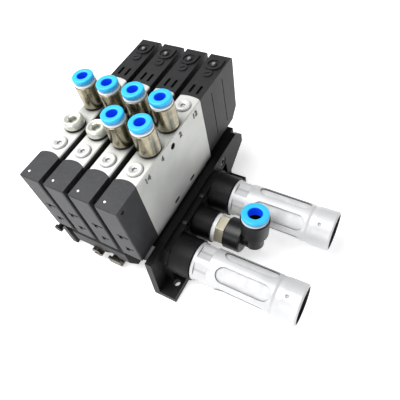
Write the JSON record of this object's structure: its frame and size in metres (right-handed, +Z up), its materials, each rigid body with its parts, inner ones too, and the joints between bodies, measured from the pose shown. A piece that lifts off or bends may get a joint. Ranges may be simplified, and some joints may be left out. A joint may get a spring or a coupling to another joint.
{
  "type": "pneumatic valve island",
  "caption": "Pneumatic valve island: slim solenoid valves side by side on a modular manifold base with push-in fittings, a supply elbow and two exhaust silencers.",
  "frame": {"origin": "underside of the base, on the centre line of the rail channel, under the middle of the four valves", "axes": "+X along the stack towards the supply end, +Y from the front caps to the pilot solenoids, +Z up"},
  "size_m": [0.1715, 0.1345, 0.1068],
  "materials": {
    "cap_moulding": "dark grey moulded polyamide, fine grain",
    "body_casting": "light grey die casting, bead blasted",
    "spool_aluminium": "turned and anodised",
    "button_plastic": "light grey moulded plastic",
    "seal_rubber": "black nitrile rubber",
    "screw_steel": "zinc-plated steel",
    "rod_black": "black-oxide steel",
    "clamp_steel": "nickel-plated steel",
    "base_moulding": "black glass-filled polyamide",
    "nickel_brass": "nickel-plated brass",
    "release_blue": "sky blue acetal",
    "cartridge_white": "white acetal",
    "silencer_casting": "bright die casting",
    "silencer_sinter": "white sintered polyethylene",
    "elbow_plastic": "black moulded plastic"
  },
  "bodies": {
    "root": {"front_cap_1": "cap_moulding", "front_cap_2": "cap_moulding", "front_cap_3": "cap_moulding", "front_cap_4": "cap_moulding", "pilot_housing_1": "cap_moulding", "pilot_housing_2": "cap_moulding", "pilot_housing_3": "cap_moulding", "pilot_housing_4": "cap_moulding", "valve_body_1": "body_casting", "valve_body_2": "body_casting", "valve_body_3": "body_casting", "valve_body_4": "body_casting", "bore_plugs": "spool_aluminium", "valve_seals": "seal_rubber", "module_seals": "seal_rubber", "port_seals": "seal_rubber", "valve_screws": "screw_steel", "tie_rods": "rod_black", "clamp_plate": "clamp_steel", "clamp_screw": "clamp_steel", "base_module_1": "base_moulding", "base_module_2": "base_moulding", "base_module_3": "base_moulding", "base_module_4": "base_moulding", "supply_end_plate": "base_moulding", "closed_end_plate": "base_moulding", "clamp_block": "base_moulding", "fitting_1": "nickel_brass", "fitting_2": "nickel_brass", "fitting_3": "nickel_brass", "fitting_4": "nickel_brass", "fitting_5": "nickel_brass", "fitting_6": "nickel_brass", "elbow_nut": "nickel_brass", "blanking_plugs": "nickel_brass", "fitting_cartridges": "cartridge_white", "elbow_seal": "cartridge_white", "silencer_front": "silencer_casting", "silencer_rear": "silencer_casting", "silencer_insert_front": "silencer_sinter", "silencer_insert_rear": "silencer_sinter"},
    "spool_1": {"spool_1": "spool_aluminium"},
    "spool_2": {"spool_2": "spool_aluminium"},
    "spool_3": {"spool_3": "spool_aluminium"},
    "spool_4": {"spool_4": "spool_aluminium"},
    "override_button_1": {"override_button_1": "button_plastic"},
    "override_button_2": {"override_button_2": "button_plastic"},
    "override_button_3": {"override_button_3": "button_plastic"},
    "override_button_4": {"override_button_4": "button_plastic"},
    "release_ring_1": {"release_ring_1": "release_blue"},
    "release_ring_2": {"release_ring_2": "release_blue"},
    "release_ring_3": {"release_ring_3": "release_blue"},
    "release_ring_4": {"release_ring_4": "release_blue"},
    "release_ring_5": {"release_ring_5": "release_blue"},
    "release_ring_6": {"release_ring_6": "release_blue"},
    "elbow": {"elbow_body": "elbow_plastic", "elbow_cartridge": "cartridge_white"},
    "elbow_ring": {"elbow_release_ring": "release_blue"}
  },
  "joints": [
    {"name": "spool_1_shift", "type": "slide", "parent": "root", "child": "spool_1", "axis": [0, -1, 0], "range_m": [0, 0.002], "stiffness_N_per_m": 600},
    {"name": "spool_2_shift", "type": "slide", "parent": "root", "child": "spool_2", "axis": [0, -1, 0], "range_m": [0, 0.002], "stiffness_N_per_m": 600},
    {"name": "spool_3_shift", "type": "slide", "parent": "root", "child": "spool_3", "axis": [0, -1, 0], "range_m": [0, 0.002], "stiffness_N_per_m": 600},
    {"name": "spool_4_shift", "type": "slide", "parent": "root", "child": "spool_4", "axis": [0, -1, 0], "range_m": [0, 0.002], "stiffness_N_per_m": 600},
    {"name": "override_1_press", "type": "slide", "parent": "root", "child": "override_button_1", "axis": [0, 0, -1], "range_m": [0, 0.0012], "stiffness_N_per_m": 900},
    {"name": "override_2_press", "type": "slide", "parent": "root", "child": "override_button_2", "axis": [0, 0, -1], "range_m": [0, 0.0012], "stiffness_N_per_m": 900},
    {"name": "override_3_press", "type": "slide", "parent": "root", "child": "override_button_3", "axis": [0, 0, -1], "range_m": [0, 0.0012], "stiffness_N_per_m": 900},
    {"name": "override_4_press", "type": "slide", "parent": "root", "child": "override_button_4", "axis": [0, 0, -1], "range_m": [0, 0.0012], "stiffness_N_per_m": 900},
    {"name": "release_ring_1_press", "type": "slide", "parent": "root", "child": "release_ring_1", "axis": [0, 0, -1], "range_m": [0, 0.001], "stiffness_N_per_m": 500},
    {"name": "release_ring_2_press", "type": "slide", "parent": "root", "child": "release_ring_2", "axis": [0, 0, -1], "range_m": [0, 0.001], "stiffness_N_per_m": 500},
    {"name": "release_ring_3_press", "type": "slide", "parent": "root", "child": "release_ring_3", "axis": [0, 0, -1], "range_m": [0, 0.001], "stiffness_N_per_m": 500},
    {"name": "release_ring_4_press", "type": "slide", "parent": "root", "child": "release_ring_4", "axis": [0, 0, -1], "range_m": [0, 0.001], "stiffness_N_per_m": 500},
    {"name": "release_ring_5_press", "type": "slide", "parent": "root", "child": "release_ring_5", "axis": [0, 0, -1], "range_m": [0, 0.001], "stiffness_N_per_m": 500},
    {"name": "release_ring_6_press", "type": "slide", "parent": "root", "child": "release_ring_6", "axis": [0, 0, -1], "range_m": [0, 0.001], "stiffness_N_per_m": 500},
    {"name": "elbow_swivel", "type": "hinge", "parent": "root", "child": "elbow", "pos_m": [0.085, 0, 0.02], "axis": [1, 0, 0], "range_deg": [-20, 36]},
    {"name": "elbow_ring_press", "type": "slide", "parent": "elbow", "child": "elbow_ring", "axis": [0, -0.1392, -0.9903], "range_m": [0, 0.001], "stiffness_N_per_m": 500}
  ]
}
